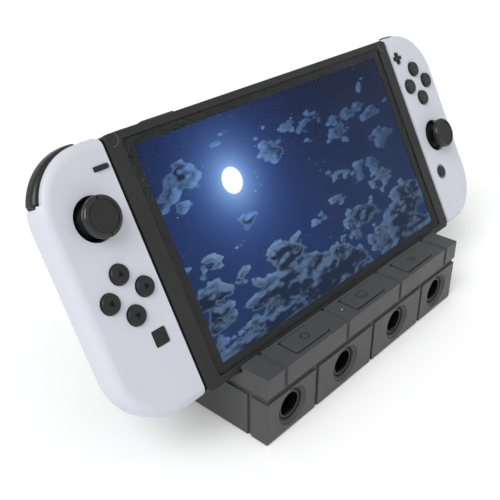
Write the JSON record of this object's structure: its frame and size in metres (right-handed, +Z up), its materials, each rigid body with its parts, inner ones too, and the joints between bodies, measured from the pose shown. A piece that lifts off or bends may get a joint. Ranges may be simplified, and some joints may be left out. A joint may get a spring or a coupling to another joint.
{
  "type": "game console with controller",
  "caption": "Tablet-shaped game console leaning in a charging dock, with a detachable controller holding a thumb stick, buttons and triggers on each side.",
  "frame": {"origin": "on the table, under the middle of the dock and of the whole object", "axes": "+X to the player's right along the dock, +Y away from the player, +Z up"},
  "size_m": [0.246, 0.084, 0.1177],
  "materials": {
    "dock_plastic": "fine matt moulded plastic, dark grey",
    "dark_plastic": "matt black plastic",
    "rubber": "soft matt rubber",
    "status_light": "clear light pipe, lit pale green",
    "circuit_board": "green solder mask",
    "metal": "brushed plated steel",
    "frame_plastic": "satin charcoal plastic",
    "cover_glass": "polished cover glass",
    "display": null,
    "white_plastic": "smooth satin white plastic",
    "black_plastic": "satin black plastic"
  },
  "bodies": {
    "dock": {"dock_lower_housing": "dock_plastic", "dock_top_cover": "dock_plastic", "dock_base_plate": "dock_plastic", "dock_back_rest": "dock_plastic", "dock_foot": "rubber", "status_light": "status_light", "dock_circuit_board": "circuit_board", "rear_port_block": "metal", "controller_port_1": "dark_plastic", "controller_port_2": "dark_plastic", "controller_port_3": "dark_plastic", "controller_port_4": "dark_plastic", "docking_plug": "metal"},
    "console": {"console_front_frame": "frame_plastic", "console_rear_shell": "frame_plastic", "cover_glass": "cover_glass", "display_panel": "display", "left_rail": "metal", "right_rail": "metal", "main_board": "circuit_board", "console_battery": "dark_plastic", "fan_housing": "dark_plastic"},
    "left_controller": {"left_front_shell": "white_plastic", "left_rear_shell": "white_plastic", "left_rail_slider": "dark_plastic"},
    "right_controller": {"right_front_shell": "white_plastic", "right_rear_shell": "white_plastic", "right_rail_slider": "dark_plastic"},
    "kickstand": {"kickstand": "frame_plastic"},
    "left_stick_ring": {"left_stick_ring": "metal"},
    "left_stick_stem": {"left_stick_stem": "dark_plastic"},
    "left_stick_cap": {"left_stick_cap": "black_plastic"},
    "right_stick_ring": {"right_stick_ring": "metal"},
    "right_stick_stem": {"right_stick_stem": "dark_plastic"},
    "right_stick_cap": {"right_stick_cap": "black_plastic"},
    "left_shoulder_button": {"left_shoulder_button": "black_plastic"},
    "left_trigger": {"left_trigger": "black_plastic"},
    "right_shoulder_button": {"right_shoulder_button": "black_plastic"},
    "right_trigger": {"right_trigger": "black_plastic"},
    "dock_key_left": {"dock_key_left": "dock_plastic"},
    "dock_key_right": {"dock_key_right": "dock_plastic"},
    "dock_key_centre": {"dock_key_centre": "dock_plastic"},
    "card_slot_cover": {"card_slot_cover": "frame_plastic"},
    "fan_rotor": {"fan_rotor": "dark_plastic"},
    "volume_rocker": {"volume_rocker": "black_plastic"},
    "power_button": {"power_button": "black_plastic"},
    "left_button_top": {"left_button_top": "black_plastic"},
    "left_button_right": {"left_button_right": "black_plastic"},
    "left_button_bottom": {"left_button_bottom": "black_plastic"},
    "left_button_left": {"left_button_left": "black_plastic"},
    "left_select_button": {"left_select_button": "black_plastic"},
    "left_corner_button": {"left_corner_button": "black_plastic"},
    "left_release_button": {"left_release_button": "black_plastic"},
    "right_button_top": {"right_button_top": "black_plastic"},
    "right_button_right": {"right_button_right": "black_plastic"},
    "right_button_bottom": {"right_button_bottom": "black_plastic"},
    "right_button_left": {"right_button_left": "black_plastic"},
    "right_select_button": {"right_select_button": "black_plastic"},
    "right_corner_button": {"right_corner_button": "black_plastic"},
    "right_release_button": {"right_release_button": "black_plastic"}
  },
  "joints": [
    {"name": "console_lift", "type": "slide", "parent": "dock", "child": "console", "axis": [0, 0.4879, 0.8729], "range_m": [0, 0.11]},
    {"name": "left_controller_lift", "type": "slide", "parent": "console", "child": "left_controller", "axis": [0, 0.4879, 0.8729], "range_m": [0, 0.105]},
    {"name": "right_controller_lift", "type": "slide", "parent": "console", "child": "right_controller", "axis": [0, 0.4879, 0.8729], "range_m": [0, 0.105]},
    {"name": "kickstand_hinge", "type": "hinge", "parent": "console", "child": "kickstand", "pos_m": [0, 0.0083, 0.0692], "axis": [1, 0, 0], "range_deg": [0, 110]},
    {"name": "left_stick_pitch", "type": "hinge", "parent": "left_controller", "child": "left_stick_ring", "pos_m": [-0.10462, 0.0142, 0.09225], "axis": [1, 0, 0], "range_deg": [-13, 13], "stiffness_Nm_per_rad": 0.03},
    {"name": "left_stick_roll", "type": "hinge", "parent": "left_stick_ring", "child": "left_stick_stem", "pos_m": [-0.10462, 0.0142, 0.09225], "axis": [0, 0.4879, 0.8729], "range_deg": [-13, 13], "stiffness_Nm_per_rad": 0.03},
    {"name": "left_stick_click", "type": "slide", "parent": "left_stick_stem", "child": "left_stick_cap", "axis": [0, 0.8729, -0.4879], "range_m": [0, 0.0006], "stiffness_N_per_m": 1200},
    {"name": "right_stick_pitch", "type": "hinge", "parent": "right_controller", "child": "right_stick_ring", "pos_m": [0.10462, -0.00029, 0.06633], "axis": [1, 0, 0], "range_deg": [-13, 13], "stiffness_Nm_per_rad": 0.03},
    {"name": "right_stick_roll", "type": "hinge", "parent": "right_stick_ring", "child": "right_stick_stem", "pos_m": [0.10462, -0.00029, 0.06633], "axis": [0, 0.4879, 0.8729], "range_deg": [-13, 13], "stiffness_Nm_per_rad": 0.03},
    {"name": "right_stick_click", "type": "slide", "parent": "right_stick_stem", "child": "right_stick_cap", "axis": [0, 0.8729, -0.4879], "range_m": [0, 0.0006], "stiffness_N_per_m": 1200},
    {"name": "left_shoulder_button_hinge", "type": "hinge", "parent": "left_controller", "child": "left_shoulder_button", "pos_m": [-0.09764, 0.02578, 0.11462], "axis": [0, -0.8729, 0.4879], "range_deg": [0, 2], "stiffness_Nm_per_rad": 2},
    {"name": "left_trigger_hinge", "type": "hinge", "parent": "left_controller", "child": "left_trigger", "pos_m": [-0.09788, 0.03017, 0.10955], "axis": [0, -0.8729, 0.4879], "range_deg": [0, 2.5], "stiffness_Nm_per_rad": 2},
    {"name": "right_shoulder_button_hinge", "type": "hinge", "parent": "right_controller", "child": "right_shoulder_button", "pos_m": [0.09764, 0.02578, 0.11462], "axis": [0, 0.8729, -0.4879], "range_deg": [0, 2], "stiffness_Nm_per_rad": 2},
    {"name": "right_trigger_hinge", "type": "hinge", "parent": "right_controller", "child": "right_trigger", "pos_m": [0.09788, 0.03017, 0.10955], "axis": [0, 0.8729, -0.4879], "range_deg": [0, 2.5], "stiffness_Nm_per_rad": 2},
    {"name": "dock_key_left_press", "type": "slide", "parent": "dock", "child": "dock_key_left", "axis": [0, 0, -1], "range_m": [0, 0.0006], "stiffness_N_per_m": 500},
    {"name": "dock_key_right_press", "type": "slide", "parent": "dock", "child": "dock_key_right", "axis": [0, 0, -1], "range_m": [0, 0.0006], "stiffness_N_per_m": 500},
    {"name": "dock_key_centre_press", "type": "slide", "parent": "dock", "child": "dock_key_centre", "axis": [0, 0, -1], "range_m": [0, 0.0006], "stiffness_N_per_m": 500},
    {"name": "card_slot_cover_hinge", "type": "hinge", "parent": "console", "child": "card_slot_cover", "pos_m": [0.06, 0.02989, 0.11213], "axis": [-1, 0, 0], "range_deg": [0, 100]},
    {"name": "fan_spin", "type": "hinge", "parent": "console", "child": "fan_rotor", "pos_m": [-0.05, 0.01483, 0.09133], "axis": [0, -0.8729, 0.4879], "continuous": true},
    {"name": "volume_rocker_tilt", "type": "hinge", "parent": "console", "child": "volume_rocker", "pos_m": [-0.0575, 0.02629, 0.11184], "axis": [0, -0.8729, 0.4879], "range_deg": [-2, 2], "stiffness_Nm_per_rad": 0.3},
    {"name": "power_button_press", "type": "slide", "parent": "console", "child": "power_button", "axis": [0, -0.4879, -0.8729], "range_m": [0, 0.0004], "stiffness_N_per_m": 400},
    {"name": "left_button_top_press", "type": "slide", "parent": "left_controller", "child": "left_button_top", "axis": [0, 0.8729, -0.4879], "range_m": [0, 0.0008], "stiffness_N_per_m": 400},
    {"name": "left_button_right_press", "type": "slide", "parent": "left_controller", "child": "left_button_right", "axis": [0, 0.8729, -0.4879], "range_m": [0, 0.0008], "stiffness_N_per_m": 400},
    {"name": "left_button_bottom_press", "type": "slide", "parent": "left_controller", "child": "left_button_bottom", "axis": [0, 0.8729, -0.4879], "range_m": [0, 0.0008], "stiffness_N_per_m": 400},
    {"name": "left_button_left_press", "type": "slide", "parent": "left_controller", "child": "left_button_left", "axis": [0, 0.8729, -0.4879], "range_m": [0, 0.0008], "stiffness_N_per_m": 400},
    {"name": "left_select_button_press", "type": "slide", "parent": "left_controller", "child": "left_select_button", "axis": [0, 0.8729, -0.4879], "range_m": [0, 0.0005], "stiffness_N_per_m": 400},
    {"name": "left_corner_button_press", "type": "slide", "parent": "left_controller", "child": "left_corner_button", "axis": [0, 0.8729, -0.4879], "range_m": [0, 0.0004], "stiffness_N_per_m": 400},
    {"name": "left_release_button_press", "type": "slide", "parent": "left_controller", "child": "left_release_button", "axis": [0, -0.8729, 0.4879], "range_m": [0, 0.0008], "stiffness_N_per_m": 400},
    {"name": "right_button_top_press", "type": "slide", "parent": "right_controller", "child": "right_button_top", "axis": [0, 0.8729, -0.4879], "range_m": [0, 0.0008], "stiffness_N_per_m": 400},
    {"name": "right_button_right_press", "type": "slide", "parent": "right_controller", "child": "right_button_right", "axis": [0, 0.8729, -0.4879], "range_m": [0, 0.0008], "stiffness_N_per_m": 400},
    {"name": "right_button_bottom_press", "type": "slide", "parent": "right_controller", "child": "right_button_bottom", "axis": [0, 0.8729, -0.4879], "range_m": [0, 0.0008], "stiffness_N_per_m": 400},
    {"name": "right_button_left_press", "type": "slide", "parent": "right_controller", "child": "right_button_left", "axis": [0, 0.8729, -0.4879], "range_m": [0, 0.0008], "stiffness_N_per_m": 400},
    {"name": "right_select_button_press", "type": "slide", "parent": "right_controller", "child": "right_select_button", "axis": [0, 0.8729, -0.4879], "range_m": [0, 0.0005], "stiffness_N_per_m": 400},
    {"name": "right_corner_button_press", "type": "slide", "parent": "right_controller", "child": "right_corner_button", "axis": [0, 0.8729, -0.4879], "range_m": [0, 0.0004], "stiffness_N_per_m": 400},
    {"name": "right_release_button_press", "type": "slide", "parent": "right_controller", "child": "right_release_button", "axis": [0, -0.8729, 0.4879], "range_m": [0, 0.0008], "stiffness_N_per_m": 400}
  ]
}
